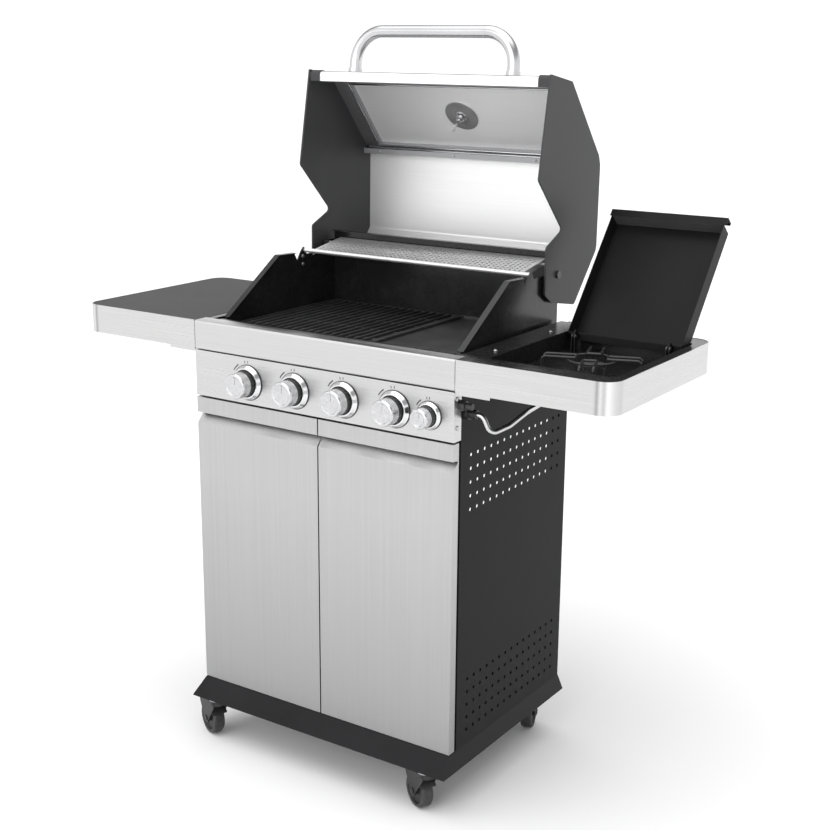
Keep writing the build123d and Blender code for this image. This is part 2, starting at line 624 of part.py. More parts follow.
def hood_cap():
    """Right end cap of the hood: thick plate with a rim that wraps the edge of the skin."""
    outline = HOOD_LIP[1:] + HOOD_FRONT + HOOD_TOP + HOOD_REAR
    radii = [2, 10, 14, 14, 26, 10, 12, 8, 8, 8, 10]
    face = Plane.YZ * make_face(FilletPolyline(*outline, radius=radii, close=True))
    cap = Pos(CAP_INNER, 0, 0) * extrude(face, amount=CAP_OUTER - CAP_INNER, dir=(1, 0, 0))
    cap += folded(HOOD_SKIN_LINE[::-1], RIM_SHEET, CAP_RIM, CAP_INNER + 1, bend=8)
    cap -= rod_x(CAP_INNER - 1, CAP_OUTER + 1, PIVOT_Y, PIVOT_Z, PIVOT_R + PIN_GAP)
    return swung_open(cap)


def hood_skin():
    """Folded stainless shell between the end caps, from the front lip over the top to the back."""
    line = side_points(HOOD_SKIN_LINE[::-1], RIM_SHEET + 0.1)
    skin = folded(line, SKIN, -CAP_INNER + 0.1, CAP_INNER - 0.1, bend=7)
    for side in (-1, 1):
        skin -= handle_bolt(side)
    y, z = gauge_centre()
    hole = Pos(0, y, z) * Rot(PANEL_TILT, 0, 0) * Cylinder(6.2, 20)
    return swung_open(skin - hole)


def panel_point(along, inward, x=0.0):
    """Point on the sloping front panel, from its lower bend, moved in from the outside."""
    y0, z0 = HOOD_FRONT[0]
    angle = radians(PANEL_SLOPE)
    y = y0 + along * cos(angle) + inward * sin(angle)
    z = z0 + along * sin(angle) - inward * cos(angle)
    return x, y, z


PANEL_SLOPE = degrees(atan2(HOOD_FRONT[1][1] - HOOD_FRONT[0][1], HOOD_FRONT[1][0] - HOOD_FRONT[0][0]))
PANEL_LENGTH = hypot(HOOD_FRONT[1][0] - HOOD_FRONT[0][0], HOOD_FRONT[1][1] - HOOD_FRONT[0][1])
PANEL_TILT = PANEL_SLOPE     # turns +Z to the panel's outward normal


def gauge_centre():
    """Depth and height of the thermometer on the panel's outside."""
    _, y, z = panel_point(PANEL_LENGTH / 2, 0)
    return y, z


def hood_thermometer():
    """Dial thermometer: case outside, stem through the panel, and its plate, nut and probe inside."""
    case = Pos(0, 0, 7) * Cylinder(37, 14)
    case = fillet(case.edges().group_by(Axis.Z)[-1], 4)
    case -= Pos(0, 0, 13) * Cylinder(31, 4)
    needle = Pos(8, 0, 11.4) * Box(30, 2.4, 0.9) + Pos(0, 0, 11.4) * Cylinder(3.4, 2)
    gap = RIM_SHEET + 0.1 + SKIN
    stem = Pos(0, 0, -10) * Cylinder(6, 20)
    plate = Pos(0, 0, -gap - 1) * Cylinder(40, 2)
    nut = Pos(0, 0, -gap - 2) * extrude(RegularPolygon(radius=11, side_count=6), amount=-7)
    probe = Pos(0, 0, -32) * Cylinder(3, 40)
    gauge = case + needle + stem + plate + nut + probe
    y, z = gauge_centre()
    return swung_open(Pos(0, y, z) * Rot(PANEL_TILT, 0, 0) * gauge)


def hood_lining():
    """Inner frame of the hood: lip cover, frame round the sloping panel and the strip at the upper bend."""
    half = CAP_INNER - 0.3
    gap = RIM_SHEET + 0.1 + SKIN
    depth = 9.0
    frame = box(-half, half, 2, PANEL_LENGTH - 4, -gap - depth, -gap - 0.1)
    frame -= box(-half + SKIN, half - SKIN, 1, PANEL_LENGTH, -gap - depth + SKIN, -gap + 1)
    end = PANEL_LENGTH - 10
    window = box(-258, 258, 16, end, -30, 1)
    collar = box(-258 - SKIN, 258 + SKIN, 16 - SKIN, end + SKIN, -gap - depth, -gap - 0.1)
    frame = frame + collar - window
    y0, z0 = HOOD_FRONT[0]
    frame = Pos(0, y0, z0) * Rot(PANEL_SLOPE, 0, 0) * frame
    lip = folded([(40, 958), (52, 958), (52, 1022), (44, 1036)], SKIN, -half, half, bend=1.5)
    bend_strip = plate_x([(188, 1176), (201, 1177.5), (201, 1176.1), (188, 1174.6)], -half, half)
    tie = plate_x([(200, 1176.1), (201.6, 1176.1), (201.6, 1201.8), (200, 1201.8)], -half, half)
    return swung_open(group([frame, lip, bend_strip + tie]))


def handle_bolt(side):
    """Bore for the bolt that holds one handle foot."""
    return rod_y(side * HANDLE_HALF, 20, 50, HANDLE_Z, 4.0)


def hood_handle():
    """Tubular handle with turned feet and the bolts that pass through the lip."""
    reach = lip_depth(HANDLE_Z) - HANDLE_REACH
    foot = lip_depth(HANDLE_Z) - 0.2
    route = [(-HANDLE_HALF, foot, HANDLE_Z), (-HANDLE_HALF, reach, HANDLE_Z),
             (HANDLE_HALF, reach, HANDLE_Z), (HANDLE_HALF, foot, HANDLE_Z)]
    path = FilletPolyline(*route, radius=HANDLE_BEND)
    handle = sweep(Plane(path @ 0, z_dir=path % 0) * Circle(HANDLE_R), path=path)
    for side in (-1, 1):
        x = side * HANDLE_HALF
        handle += rod_y(x, foot - 8, foot, HANDLE_Z, 15.5)
        handle += rod_y(x, foot - 1, 50, HANDLE_Z, 3.9)
        handle += rod_y(x, foot + RIM_SHEET + SKIN + 1.2, foot + RIM_SHEET + SKIN + 5, HANDLE_Z, 7)
    return swung_open(handle)


def lip_depth(z):
    """Depth of the lip's outside face at a height."""
    (y0, z0), (y1, z1) = HOOD_LIP[1], HOOD_FRONT[0]
    return y0 + (y1 - y0) * (z - z0) / (z1 - z0)


# ---------------------------------------------------------------- shelves and side burner
def shelf_outline(inset):
    """Right shelf's outline with its outer corners rounded, drawn smaller by inset."""
    r = SHELF_CORNER - inset
    inner, outer = SHELF_INNER, SHELF_HALF - inset
    front, back = inset, SHELF_DEPTH - inset
    corners = [(inner, front), (outer, front), (outer, back), (inner, back)]
    return make_face(FilletPolyline(*corners, radius=[0, r, r, 0], close=True))


def at_height(face, z0, z1):
    """Outline extruded between two heights."""
    return Pos(0, 0, z0) * extrude(face, amount=z1 - z0, dir=(0, 0, 1))


def shelf_band():
    """Right shelf's stainless band round its front, end and back, turned in at the bottom."""
    band = at_height(shelf_outline(0) - shelf_outline(BAND), FASCIA_BOTTOM, WORKTOP)
    band += at_height(shelf_outline(BAND / 2) - shelf_outline(12), FASCIA_BOTTOM, FASCIA_BOTTOM + SHEET)
    tab = box(SHELF_INNER, SHELF_INNER + 74, BAND, BAND + SHEET, FASCIA_BOTTOM - 6, FASCIA_BOTTOM + 4)
    return band + tab


def shelf_tray(with_well):
    """Right shelf's top sheet with its turned-down rim and mounting flange."""
    top = WORKTOP - 0.5
    tray = at_height(shelf_outline(BAND + 0.2), top - SHEET, top)
    rim = shelf_outline(BAND + 0.2) - shelf_outline(BAND + 0.2 + SHEET)
    tray += at_height(rim, 922, top)
    tray += box(CART_HALF + 0.1, SHELF_INNER + SHEET, BAND + 1, SHELF_DEPTH - BAND - 1, 900, top)
    if with_well:
        x0, x1, y0, y1 = WELL
        well = box(x0, x1, y0, y1, WELL_FLOOR - SHEET, top)
        well = fillet(well.edges().filter_by(Axis.Z), 14)
        space = box(x0 + SHEET, x1 - SHEET, y0 + SHEET, y1 - SHEET, WELL_FLOOR, top + 1)
        space = fillet(space.edges().filter_by(Axis.Z), 12.5)
        neck = rod_z(BURNER_X, BURNER_Y, WELL_FLOOR - 5, WELL_FLOOR + 5, 15.2)
        tray = tray + well - space - neck
    return tray


def side_burner_head():
    """Side burner: mixing tube, flared head and loose cap."""
    head = rod_z(BURNER_X, BURNER_Y, 874, 922, 15)
    head += rod_z(BURNER_X, BURNER_Y, 922, 934, 27)
    head += rod_x(BURNER_X - 32, BURNER_X, BURNER_Y, 885, 11)
    ports = 20
    for i in range(ports):
        angle = 360 * i / ports
        slot = Pos(BURNER_X, BURNER_Y, 932.5) * Rot(0, 0, angle) * Pos(25, 0, 0) * Box(8, 1.6, 4)
        head -= slot
    cap = Pos(BURNER_X, BURNER_Y, 936.5) * Cylinder(25, 5)
    cap = fillet(cap.edges().group_by(Axis.Z)[-1], 2)
    spark = rod_z(BURNER_X + 36, BURNER_Y - 18, WELL_FLOOR, 938, 3.5)
    spark += rod_z(BURNER_X + 36, BURNER_Y - 18, 937, 946, 1.2)
    foot = box(BURNER_X + 30, BURNER_X + 42, BURNER_Y - 24, BURNER_Y - 12, WELL_FLOOR, WELL_FLOOR + 3)
    return group([head, cap, spark + foot])


def pan_support():
    """Round-wire pan support: a ring and four hairpin arms whose ends turn down to the well floor."""
    wire = 2.6
    top = 951.0
    ring = Pos(BURNER_X, BURNER_Y, top - 2 * wire + 0.6) * Torus(46, wire)
    support = ring
    for angle in (20, 110, 200, 290):
        for offset in (-13, 13):
            route = [(30, offset, top), (92, offset, top), (96, offset, WELL_FLOOR + wire)]
            path = FilletPolyline(*route, radius=7)
            bar = sweep(Plane(path @ 0, z_dir=path % 0) * Circle(wire), path=path)
            foot = Pos(96, offset, WELL_FLOOR + wire) * Sphere(wire)
            support += Pos(BURNER_X, BURNER_Y, 0) * Rot(0, 0, angle) * (bar + foot)
        bridge = Pos(30, 0, top) * Rot(90, 0, 0) * Cylinder(wire, 26)
        support += Pos(BURNER_X, BURNER_Y, 0) * Rot(0, 0, angle) * bridge
    return support


def side_burner_lid():
    """Tray-shaped lid, drawn shut, with a front lip to lift it by and two hinge ears."""
    lid = box(LID_LEFT, LID_RIGHT, LID_FRONT, LID_REAR, LID_RIM, LID_TOP)
    upright = lid.edges().filter_by(Axis.Z)
    lid = fillet(upright, 3)
    lid = fillet(lid.edges().group_by(Axis.Z)[-1], 2)
    lid -= box(LID_LEFT + SHEET, LID_RIGHT - SHEET, LID_FRONT + SHEET, LID_REAR - SHEET,
               LID_RIM - 1, LID_TOP - SHEET)
    lip_front = LID_FRONT - 15
    lid += box(LID_LEFT - 4, LID_RIGHT + 4, lip_front, LID_FRONT + 1, LID_RIM, LID_RIM + SHEET)
    lip_top = LID_RIM + 20
    lid += box(LID_LEFT - 4, LID_RIGHT + 4, lip_front, lip_front + SHEET, LID_RIM, lip_top)
    lid += box(LID_LEFT - 4, LID_RIGHT + 4, lip_front, lip_front + 6, lip_top - SHEET, lip_top)
    for x in LID_EAR_X:
        ear = box(x - 2, x + 2, LID_REAR - 1, LID_PIVOT_Y, LID_PIVOT_Z - 6, LID_RIM + 10)
        ear += rod_x(x - 2, x + 2, LID_PIVOT_Y, LID_PIVOT_Z, 6)
        lid += ear - rod_x(x - 3, x + 3, LID_PIVOT_Y, LID_PIVOT_Z, LID_PIN_R + PIN_GAP)
    return lid.rotate(Axis((0, LID_PIVOT_Y, LID_PIVOT_Z), (1, 0, 0)), -LID_OPEN)


# ---------------------------------------------------------------- pins and screws
def hinge_pins():
    """Fixed hinge hardware: door pins, hood pivot bolts and the side lid's brackets."""
    pieces = []
    x, y = DOOR_PIN
    for side in (-1, 1):
        pieces.append(rod_z(side * x, y, PLINTH_TOP, DOOR_BOTTOM + 13, DOOR_PIN_R))
        top_pin = rod_z(side * x, y, DOOR_TOP - 13, PANEL_BOTTOM + SHEET, DOOR_PIN_R)
        pieces.append(top_pin + rod_z(side * x, y, PANEL_BOTTOM + SHEET, PANEL_BOTTOM + 4, 5.5))
        bolt = rod_x(side * (BOX_INNER - 6), side * (CAP_OUTER + 4), PIVOT_Y, PIVOT_Z, PIVOT_R)
        bolt += rod_x(side * (BOX_INNER - 6), side * BOX_INNER, PIVOT_Y, PIVOT_Z, 7.5)
        bolt += rod_x(side * (BOX_OUTER), side * (CAP_INNER - 0.3), PIVOT_Y, PIVOT_Z, 7.5)
        bolt += rod_x(side * (CAP_OUTER + 0.3), side * (CAP_OUTER + 4.5), PIVOT_Y, PIVOT_Z, 8)
        pieces.append(bolt)
    for x in LID_EAR_X:
        bracket = box(x - 9, x + 9, LID_PIVOT_Y - 20, LID_PIVOT_Y + 6, WELL_FLOOR, WELL_FLOOR + 1.2)
        for cheek in (-1, 1):
            near, far = x + cheek * 2.4, x + cheek * 4.4
            bracket += box(near, far, LID_PIVOT_Y - 6, LID_PIVOT_Y + 6, WELL_FLOOR, LID_PIVOT_Z)
            bracket += rod_x(near, far, LID_PIVOT_Y, LID_PIVOT_Z, 5.5)
        bracket += rod_x(x - 5.5, x + 5.5, LID_PIVOT_Y, LID_PIVOT_Z, LID_PIN_R)
        pieces.append(bracket)
    return group(pieces)


def pan_head(x, y, z, side):
    """Domed screw head on a face whose outside looks along X, to one side."""
    head = Pos(x, y, z) * Rot(0, side * 90, 0) * Pos(0, 0, 1.2) * Cylinder(4.5, 2.4)
    top = head.edges().filter_by(GeomType.CIRCLE).sort_by(Axis.X)[-1 if side > 0 else 0]
    return fillet(top, 1.2)


def frame_screws():
    """Visible screws of the control panel ends, the firebox ears and the shelf brackets."""
    places = []
    for side in (-1, 1):
        for y, z in ((11, 815), (11, 872)):
            places.append((side * CART_HALF, y, z, side))
        for y, z in ((330, 1048), (330, 1030)):
            places.append((side * BOX_INNER, y, z, -side))
        for y in (90, 270, 420):
            places.append((side * (SHELF_INNER + SHEET), y, 912, side))
    return group([pan_head(*place) for place in places])


# ---------------------------------------------------------------- the pieces
PIECES = {
    "base_plinth": base_plinth(),
    "caster_plates": caster_plates(),
    "left_side_panel": mirrored(side_panel()),
    "right_side_panel": right_side_panel(),
    "back_panel": back_panel(),
    "front_frame": front_frame(),
    "control_panel": control_panel(),
    "fascia_rail": fascia_rail(),
    "left_door_skin": mirrored(door_skin()),
    "left_door_liner": mirrored(door_liner()),
    "right_door_skin": door_skin(),
    "right_door_liner": door_liner(),
    "knob_bezels": knob_bezels(),
    "gas_valves": gas_valves(),
    "gas_manifold": gas_manifold(),
    "side_burner_hose": side_burner_hose(),
    "firebox_left_side": mirrored(firebox_side()),
    "firebox_right_side": firebox_side(),
    "firebox_walls": firebox_walls(),
    "main_burners": main_burners(),
    "flame_tamers": flame_tamers(),
    "cooking_grate": cooking_grate(),
    "griddle_plate": griddle_plate(),
    "warming_rack": warming_rack(),
    "drip_tray": drip_tray(),
    "hood_skin": hood_skin(),
    "hood_left_cap": mirrored(hood_cap()),
    "hood_right_cap": hood_cap(),
    "hood_lining": hood_lining(),
    "hood_thermometer": hood_thermometer(),
    "hood_handle": hood_handle(),
    "left_shelf_top": mirrored(shelf_tray(with_well=False)),
    "left_shelf_band": mirrored(shelf_band()),
    "right_shelf_top": shelf_tray(with_well=True),
    "right_shelf_band": shelf_band(),
    "side_burner_head": side_burner_head(),
    "side_burner_pan_support": pan_support(),
    "side_burner_lid": side_burner_lid(),
    "hinge_pins": hinge_pins(),
    "frame_screws": frame_screws(),
}
for number, knob_x in enumerate(KNOB_X, start=1):
    radius, face = (21.0, -40.0) if knob_x == SIDE_KNOB_X else (27.5, -45.0)
    PIECES[f"knob_{number}"] = knob(knob_x, radius, face)
    PIECES[f"valve_stem_{number}"] = valve_stem(knob_x)
for caster in CASTERS:
    PIECES[f"caster_fork_{caster}"] = caster_fork(caster)
    PIECES[f"caster_wheel_{caster}"] = caster_wheel(caster)
    if caster.startswith("front"):
        PIECES[f"caster_brake_{caster}"] = caster_pedal(caster)

os.makedirs("parts", exist_ok=True)
for name, piece in PIECES.items():
    export_step(Pos(0, -ORIGIN_DEPTH, 0) * piece, f"parts/{name}.step")
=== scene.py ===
"""Looks of the gas barbecue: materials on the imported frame, small fittings, studio, light and camera.

Everything is in metres in the row frame: X right, Y away from the user, Z up from the floor.
"""

from math import atan2, cos, hypot, pi, radians, sin

import bmesh
import bpy
from mathutils import Matrix, Vector


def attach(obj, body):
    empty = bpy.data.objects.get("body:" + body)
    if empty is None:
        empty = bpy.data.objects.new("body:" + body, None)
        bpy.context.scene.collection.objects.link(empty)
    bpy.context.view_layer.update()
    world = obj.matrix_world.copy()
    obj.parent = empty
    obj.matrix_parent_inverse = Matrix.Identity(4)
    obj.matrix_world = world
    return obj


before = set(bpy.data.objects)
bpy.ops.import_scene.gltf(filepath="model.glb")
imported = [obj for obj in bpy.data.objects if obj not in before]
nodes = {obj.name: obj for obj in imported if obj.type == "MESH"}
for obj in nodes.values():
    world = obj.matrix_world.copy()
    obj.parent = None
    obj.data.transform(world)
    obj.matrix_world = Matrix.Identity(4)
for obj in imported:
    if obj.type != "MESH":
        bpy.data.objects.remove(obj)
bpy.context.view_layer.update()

FRONT = -0.2822             # the cart's front face in the row frame
HOOD_OPEN = radians(96.5)
PIVOT_DEPTH, PIVOT_Z = 430.0, 1051.0        # hood hinge, in millimetres like the four values below
BEND_DEPTH, BEND_Z = 35.0, 1044.0           # lower bend of the hood's sloping panel, drawn shut
PANEL_RUN, PANEL_RISE = 142.0, 152.0        # from the lower to the upper bend


# ---------------------------------------------------------------- material helpers
class Material:
    """A Principled material with short calls for its node graph."""

    def __init__(self, name, color=(0.8, 0.8, 0.8), metallic=0.0, roughness=0.5):
        self.mat = bpy.data.materials.new(name)
        self.mat.use_nodes = True
        self.tree = self.mat.node_tree
        self.shader = self.tree.nodes["Principled BSDF"]
        self.set("Base Color", (*color, 1.0))
        self.set("Metallic", metallic)
        self.set("Roughness", roughness)
        self.coords = self.tree.nodes.new("ShaderNodeTexCoord").outputs["Object"]
        self.normal = None

    def set(self, socket, value):
        self.shader.inputs[socket].default_value = value

    def link(self, output, target):
        self.tree.links.new(output, target)

    def feed(self, output, socket):
        self.link(output, self.shader.inputs[socket])

    def scaled(self, scale):
        node = self.tree.nodes.new("ShaderNodeMapping")
        node.inputs["Scale"].default_value = scale
        self.link(self.coords, node.inputs["Vector"])
        return node.outputs["Vector"]

    def noise(self, scale, detail=3.0, roughness=0.55, stretch=None):
        node = self.tree.nodes.new("ShaderNodeTexNoise")
        node.inputs["Scale"].default_value = scale
        node.inputs["Detail"].default_value = detail
        node.inputs["Roughness"].default_value = roughness
        self.link(self.scaled(stretch) if stretch else self.coords, node.inputs["Vector"])
        return node.outputs["Fac"]

    def cells(self, scale):
        node = self.tree.nodes.new("ShaderNodeTexVoronoi")
        node.inputs["Scale"].default_value = scale
        self.link(self.coords, node.inputs["Vector"])
        return node.outputs["Distance"]

    def ramp(self, value, low, high, out_low, out_high):
        node = self.tree.nodes.new("ShaderNodeMapRange")
        node.inputs["From Min"].default_value = low
        node.inputs["From Max"].default_value = high
        node.inputs["To Min"].default_value = out_low
        node.inputs["To Max"].default_value = out_high
        self.link(value, node.inputs["Value"])
        return node.outputs["Result"]

    def math(self, operation, a, b):
        node = self.tree.nodes.new("ShaderNodeMath")
        node.operation = operation
        for socket, value in zip(node.inputs, (a, b)):
            if isinstance(value, (int, float)):
                socket.default_value = value
            else:
                self.link(value, socket)
        return node.outputs["Value"]

    def mix(self, factor, a, b):
        node = self.tree.nodes.new("ShaderNodeMix")
        node.data_type = "RGBA"
        self.link(factor, node.inputs["Factor"])
        for socket, value in ((node.inputs[6], a), (node.inputs[7], b)):
            if isinstance(value, tuple):
                socket.default_value = (*value, 1.0)
            else:
                self.link(value, socket)
        return node.outputs[2]

    def bump(self, height, distance, strength=1.0):
        node = self.tree.nodes.new("ShaderNodeBump")
        node.inputs["Distance"].default_value = distance
        node.inputs["Strength"].default_value = strength
        self.link(height, node.inputs["Height"])
        if self.normal is not None:
            self.link(self.normal, node.inputs["Normal"])
        self.normal = node.outputs["Normal"]
        self.feed(self.normal, "Normal")

    def axis(self, index):
        node = self.tree.nodes.new("ShaderNodeSeparateXYZ")
        self.link(self.coords, node.inputs["Vector"])
        return node.outputs[index]


def brushed(name, color, roughness, grain, spread=0.05, smudge=0.03, metallic=1.0, shade_fade=None):
    """Brushed steel whose grain runs along one axis; shade_fade is (low z, high z, share of the tone below)
    for painted shade, darker towards the bottom.
    """
    m = Material(name, color, metallic, roughness)
    stretch = [1400.0, 1400.0, 1400.0]
    stretch["XYZ".index(grain)] = 5.0
    lines = m.noise(1.0, 3.0, 0.6, stretch=stretch)
    bands = m.noise(1.0, 2.0, 0.5, stretch=[s / 6 for s in stretch])
    cloud = m.noise(4.0, 4.0, 0.6)
    tone = m.math("ADD", m.math("MULTIPLY", lines, 0.6), m.math("MULTIPLY", bands, 0.4))
    dark = tuple(c * (1 - spread) for c in color)
    light = tuple(min(c * (1 + spread), 1.0) for c in color)
    finish = m.mix(m.ramp(tone, 0.35, 0.65, 0.0, 1.0), dark, light)
    # Painted shade: the tone is darkened towards the bottom, standing in for the dimmer reflection low on
    # the doors.
    if shade_fade:
        low, high, share = shade_fade
        shaded_tone = m.mix(m.ramp(tone, 0.35, 0.65, 0.0, 1.0), tuple(c * share for c in dark),
                     tuple(c * share for c in light))
        finish = m.mix(m.ramp(m.axis(2), low, high, 0.0, 1.0), shaded_tone, finish)
    m.feed(finish, "Base Color")
    fine = m.ramp(tone, 0.3, 0.7, roughness - 0.05, roughness + 0.05)
    m.feed(m.math("ADD", fine, m.ramp(cloud, 0.3, 0.7, -smudge, smudge)), "Roughness")
    m.bump(tone, 0.00004, 0.6)
    m.set("Anisotropic", 0.55)
    tangent = m.tree.nodes.new("ShaderNodeTangent")
    tangent.direction_type = "RADIAL"
    tangent.axis = "Z" if grain == "X" else "X"
    m.feed(tangent.outputs["Tangent"], "Tangent")
    return m.mat


def chrome(name, color, roughness):
    """Polished plating with faint wiping marks."""
    m = Material(name, color, 1.0, roughness)
    wipes = m.noise(60.0, 4.0, 0.6)
    haze = m.noise(9.0, 3.0, 0.6)
    m.feed(m.math("ADD", m.ramp(wipes, 0.3, 0.75, roughness - 0.03, roughness + 0.06),
                  m.ramp(haze, 0.35, 0.7, -0.01, 0.04)), "Roughness")
    m.feed(m.mix(m.ramp(haze, 0.3, 0.7, 0.0, 1.0), tuple(c * 0.95 for c in color), color), "Base Color")
    m.bump(wipes, 0.00002, 0.5)
    return m.mat


def powder_coat(name, color, roughness=0.45, grit=0.00006, shine=0.2):
    """Powder-coated steel: fine orange peel, with a little dust in its tone."""
    m = Material(name, color, 0.0, roughness)
    peel = m.noise(1500.0, 2.0, 0.5)
    soft = m.noise(260.0, 3.0, 0.5)
    cloud = m.noise(6.0, 4.0, 0.6)
    lift = tuple(min(c * 1.22 + 0.003, 1.0) for c in color)
    m.feed(m.mix(m.ramp(cloud, 0.3, 0.72, 0.0, 1.0), color, lift), "Base Color")
    m.feed(m.math("ADD", m.ramp(peel, 0.3, 0.7, roughness - 0.05, roughness + 0.07),
                  m.ramp(cloud, 0.3, 0.7, -0.03, 0.03)), "Roughness")
    m.bump(soft, grit, 0.5)
    m.bump(peel, grit, 0.8)
    m.set("Specular IOR Level", shine)
    return m.mat


def enamel(name, color, roughness=0.22):
    """Glossy enamel with a slightly uneven skin."""
    m = Material(name, color, 0.0, roughness)
    wave = m.noise(90.0, 2.0, 0.4)
    specks = m.noise(900.0, 2.0, 0.5)
    cloud = m.noise(7.0, 4.0, 0.65)
    pale = tuple(c * 1.5 + 0.004 for c in color)
    m.feed(m.mix(m.ramp(cloud, 0.35, 0.75, 0.0, 1.0), color, pale), "Base Color")
    m.feed(m.math("ADD", m.ramp(cloud, 0.3, 0.7, roughness - 0.04, roughness + 0.08),
                  m.ramp(specks, 0.4, 0.7, 0.0, 0.05)), "Roughness")
    m.bump(wave, 0.0002, 0.25)
    m.bump(specks, 0.00003, 0.5)
    m.set("Specular IOR Level", 0.35)
    m.set("Coat Weight", 0.12)
    m.set("Coat Roughness", 0.12)
    return m.mat


def cast_iron(name, color=(0.030, 0.030, 0.031), roughness=0.55):
    """Sand-cast iron under matt enamel, with a rough skin."""
    m = Material(name, color, 0.25, roughness)
    sand = m.noise(700.0, 4.0, 0.65)
    pits = m.cells(420.0)
    cloud = m.noise(14.0, 4.0, 0.6)
    m.feed(m.mix(m.ramp(cloud, 0.35, 0.7, 0.0, 1.0), color, tuple(c * 1.9 for c in color)), "Base Color")
    m.feed(m.ramp(sand, 0.3, 0.7, roughness - 0.12, roughness + 0.12), "Roughness")
    m.bump(sand, 0.0003, 0.7)
    m.bump(pits, 0.0002, 0.25)
    return m.mat


def moulded(name, color, roughness):
    """Moulded plastic or rubber, finely eroded."""
    m = Material(name, color, 0.0, roughness)
    grain = m.noise(1100.0, 3.0, 0.6)
    cloud = m.noise(25.0, 3.0, 0.6)
    pale = tuple(c * 1.6 + 0.004 for c in color)
    m.feed(m.mix(m.ramp(cloud, 0.35, 0.7, 0.0, 1.0), color, pale), "Base Color")
    m.feed(m.ramp(grain, 0.3, 0.7, roughness - 0.06, roughness + 0.1), "Roughness")
    m.bump(grain, 0.00005, 0.6)
    return m.mat


def lid_finish(name):
    """Black coat of the side burner's lid, with painted light: the inside of its front wall is painted
    paler, as if lit.
    """
    m = Material(name, (0.008, 0.008, 0.0085), 0.0, 0.42)
    peel = m.noise(1500.0, 2.0, 0.5)
    cloud = m.noise(6.0, 4.0, 0.6)
    # Painted light: faces turned one way, the inside of the front wall, are painted paler to stand in for
    # light falling on them.
    facing = m.tree.nodes.new("ShaderNodeVectorMath")
    facing.operation = "DOT_PRODUCT"
    facing.inputs[1].default_value = (0.0, -0.636, -0.772)
    m.link(m.tree.nodes["Texture Coordinate"].outputs["Normal"], facing.inputs[0])
    wear_and_lit_face = m.ramp(facing.outputs["Value"], 0.95, 0.98, 0.0, 1.0)
    coat = m.mix(m.ramp(cloud, 0.3, 0.72, 0.0, 1.0), (0.007, 0.007, 0.0075), (0.010, 0.010, 0.0105))
    m.feed(m.mix(wear_and_lit_face, coat, (0.07, 0.07, 0.072)), "Base Color")
    m.feed(m.ramp(peel, 0.3, 0.7, 0.37, 0.49), "Roughness")
    m.bump(peel, 0.00006, 0.8)
    m.set("Specular IOR Level", 0.12)
    return m.mat


def band_finish(name, color):
    """Shelf band: brushed along its length, with painted reflections: upright light and dark bands painted
    round its outer front corners.
    """
    m = Material(name, color, 1.0, 0.26)
    lines = m.noise(1.0, 3.0, 0.6, stretch=(5.0, 5.0, 1400.0))
    cloud = m.noise(4.0, 4.0, 0.6)
    dark = tuple(c * 0.95 for c in color)
    light = tuple(c * 1.05 for c in color)
    brushed_tone = m.mix(m.ramp(lines, 0.35, 0.65, 0.0, 1.0), dark, light)
    out = m.math("ABSOLUTE", m.axis(0), 0.0)
    # Painted reflection: upright light and dark bands on the rounded front corners stand in for the
    # surroundings mirrored there.
    painted_reflection_bands = m.tree.nodes.new("ShaderNodeValToRGB")
    m.link(m.ramp(out, 0.600, 0.654, 0.0, 1.0), painted_reflection_bands.inputs["Fac"])
    steps = ((0.0, 0.60), (0.22, 0.58), (0.34, 0.34), (0.46, 0.68), (0.58, 0.50), (0.70, 0.86), (0.86, 0.64),
             (1.0, 0.52))
    while len(painted_reflection_bands.color_ramp.elements) < len(steps):
        painted_reflection_bands.color_ramp.elements.new(0.5)
    for element, (position, level) in zip(painted_reflection_bands.color_ramp.elements, steps):
        element.position = position
        element.color = (level, level, level, 1.0)
    front = m.ramp(m.axis(1), FRONT + 0.030, FRONT + 0.036, 1.0, 0.0)
    corner = m.math("MULTIPLY", front, m.ramp(out, 0.606, 0.618, 0.0, 1.0))
    m.feed(m.mix(corner, brushed_tone, painted_reflection_bands.outputs["Color"]), "Base Color")
    m.feed(m.math("ADD", m.ramp(lines, 0.3, 0.7, 0.20, 0.30), m.ramp(cloud, 0.3, 0.7, -0.03, 0.03)),
           "Roughness")
    m.bump(lines, 0.00003, 0.5)
    return m.mat


def hood_finish(name):
    """Hood shell: satin brushed steel outside, flatter inside, and painted paler inside as painted light."""
    m = Material(name, (0.9, 0.9, 0.9), 0.7, 0.4)
    facing = m.tree.nodes.new("ShaderNodeVectorMath")
    facing.operation = "DOT_PRODUCT"
    facing.inputs[1].default_value = (0.0, 0.8, 0.6)
    m.link(m.tree.nodes["Texture Coordinate"].outputs["Normal"], facing.inputs[0])
    outside = m.ramp(facing.outputs["Value"], -0.02, 0.02, 0.0, 1.0)
    lines = m.noise(1.0, 3.0, 0.6, stretch=(5.0, 1400.0, 1400.0))
    cloud = m.noise(4.0, 4.0, 0.6)
    grain = m.ramp(lines, 0.35, 0.65, 0.0, 1.0)
    # Painted light: the inside is painted far paler than the outside of the same sheet, standing in for the
    # light it catches.
    inner = m.mix(grain, (0.92, 0.92, 0.92), (0.96, 0.96, 0.96))
    outer = m.mix(grain, (0.50, 0.50, 0.50), (0.57, 0.57, 0.57))
    m.feed(m.mix(outside, inner, outer), "Base Color")
    m.feed(m.ramp(outside, 0.0, 1.0, 0.62, 1.0), "Metallic")
    m.feed(m.math("ADD", m.ramp(outside, 0.0, 1.0, 0.46, 0.32), m.ramp(cloud, 0.3, 0.7, -0.03, 0.03)),
           "Roughness")
    m.bump(lines, 0.00004, 0.6)
    return m.mat


